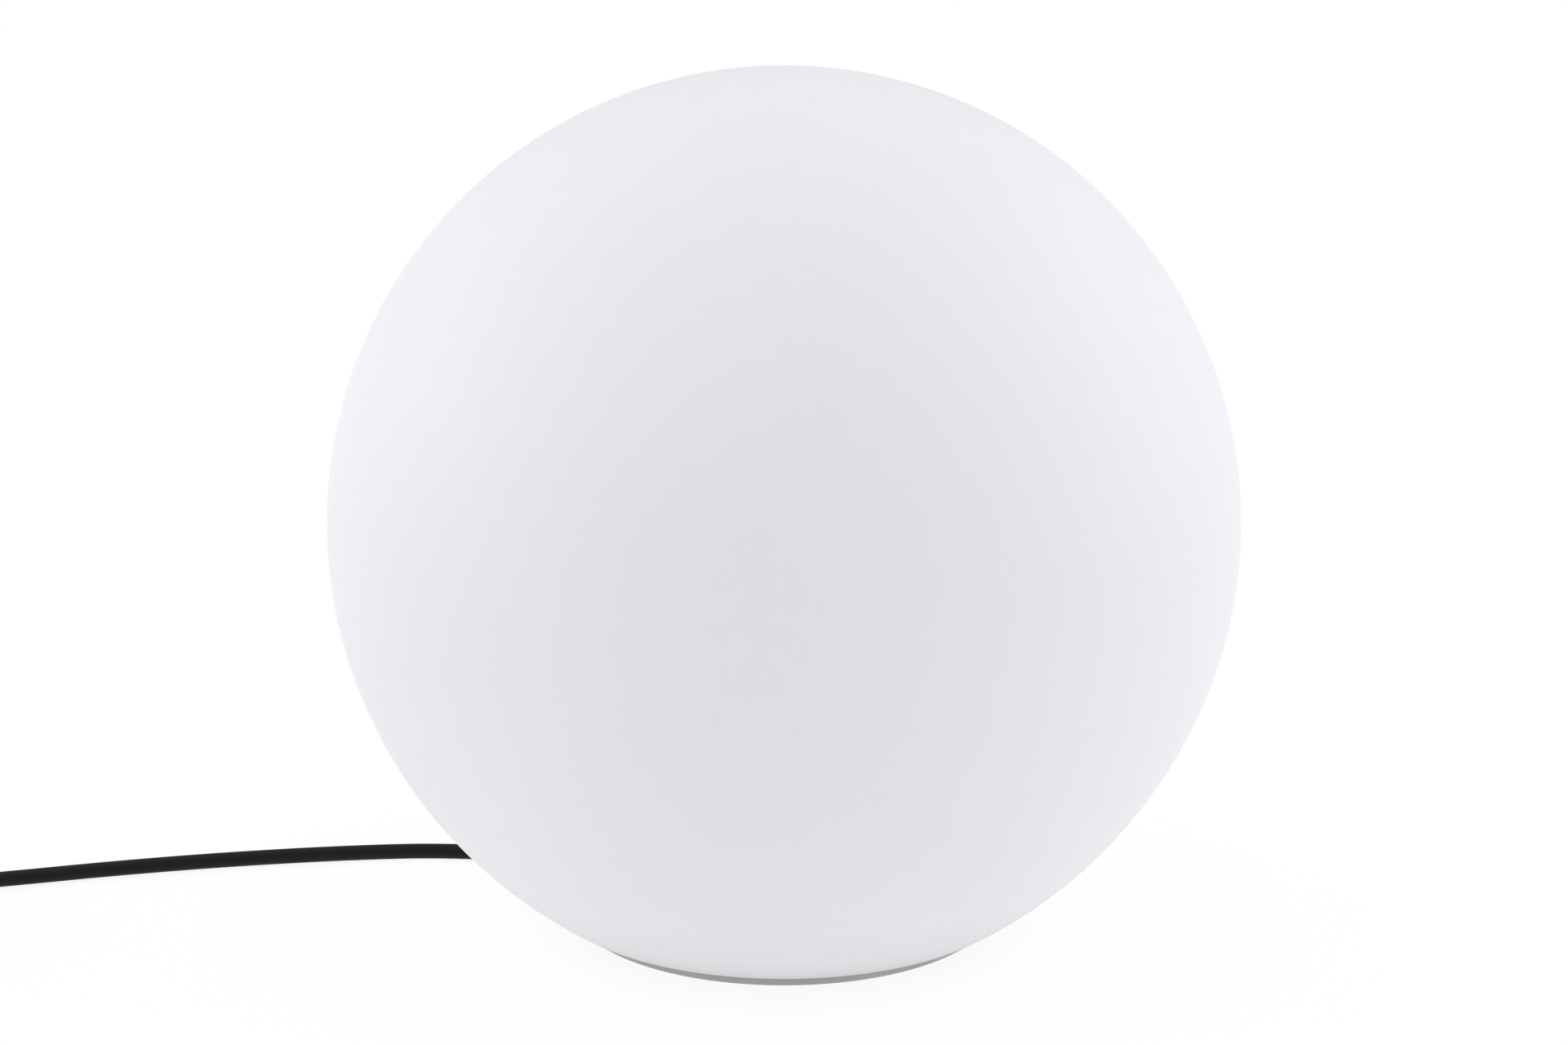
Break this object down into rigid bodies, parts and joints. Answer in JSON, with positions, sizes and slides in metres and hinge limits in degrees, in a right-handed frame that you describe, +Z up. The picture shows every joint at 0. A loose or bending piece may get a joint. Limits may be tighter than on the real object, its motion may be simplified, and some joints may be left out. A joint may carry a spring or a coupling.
{
  "type": "outdoor floor lamp",
  "caption": "White moulded globe lamp that stands on a low grey base outdoors; the globe lifts off to change a screw-in bulb, and a rubber mains lead leaves the base.",
  "frame": {"origin": "on the floor, under the middle of the globe", "axes": "+Z up, -Y towards the side that is looked at, the lead leaves towards -X"},
  "size_m": [0.6756, 0.4, 0.38],
  "materials": {
    "globe_white": "satin moulded, slightly translucent",
    "base_grey": "fine matt moulded texture",
    "rubber_black": "matt rubber sheath",
    "seal_rubber": "matt",
    "gland_nylon": "satin nylon",
    "zinc_steel": "zinc plated",
    "stainless": "stainless",
    "brass_plain": "turned",
    "nickel": "nickel plated",
    "porcelain": "glazed",
    "core_brown": "satin",
    "core_blue": "satin",
    "block_natural": "translucent satin",
    "opal": "opal satin",
    "lamp_white": "semi gloss",
    "vitrite": "black glassy",
    "led_board": "white solder mask on aluminium",
    "led_phosphor": "phosphor",
    "driver_green": "circuit board",
    "tie_fabric": "hook and loop"
  },
  "bodies": {
    "base": {"base_tray": "base_grey", "foot_pads": "seal_rubber", "base_gasket": "seal_rubber", "base_screws": "stainless", "base_washers": "stainless", "gland_seal": "seal_rubber", "gland_body": "gland_nylon", "gland_insert": "seal_rubber", "gland_cap": "gland_nylon", "gland_locknut": "gland_nylon", "cord_tail": "rubber_black", "core_live": "core_brown", "core_neutral": "core_blue", "wire_live": "core_brown", "wire_neutral": "core_blue", "terminal_block": "block_natural", "terminal_sleeves": "brass_plain", "terminal_screws": "zinc_steel", "holder_bracket": "zinc_steel", "bracket_screws": "stainless", "holder_screws": "stainless", "lampholder_body": "porcelain", "lampholder_shell": "brass_plain", "lampholder_contact": "brass_plain", "lampholder_terminals": "brass_plain", "cord_lead": "rubber_black", "cord_coil": "rubber_black", "plug_lead": "rubber_black", "coil_tie": "tie_fabric", "plug_sleeve": "rubber_black", "plug_body": "rubber_black", "plug_pins": "nickel"},
    "globe": {"globe_shell": "globe_white", "clamp_ring": "zinc_steel", "ring_nuts": "stainless"},
    "lamp_dome": {"bulb_dome": "opal"},
    "lamp": {"bulb_housing": "lamp_white", "bulb_cap": "nickel", "bulb_insulator": "vitrite", "bulb_contact": "nickel", "bulb_led_plate": "led_board", "bulb_leds": "led_phosphor", "bulb_driver_board": "driver_green"}
  },
  "joints": [
    {"name": "globe_lift", "type": "slide", "parent": "base", "child": "globe", "axis": [0, 0, 1], "range_m": [0, 0.2]},
    {"name": "bulb_rise", "type": "slide", "parent": "base", "child": "lamp_dome", "axis": [0, 0, 1], "range_m": [0, 0.0182]},
    {"name": "bulb_turn", "type": "hinge", "parent": "lamp_dome", "child": "lamp", "pos_m": [0, 0, 0.1], "axis": [0, 0, 1], "range_deg": [0, 1800]}
  ],
  "couplings": [
    {"joint": "bulb_rise", "follows": "bulb_turn", "m_per_rad": 0.00057773}
  ]
}
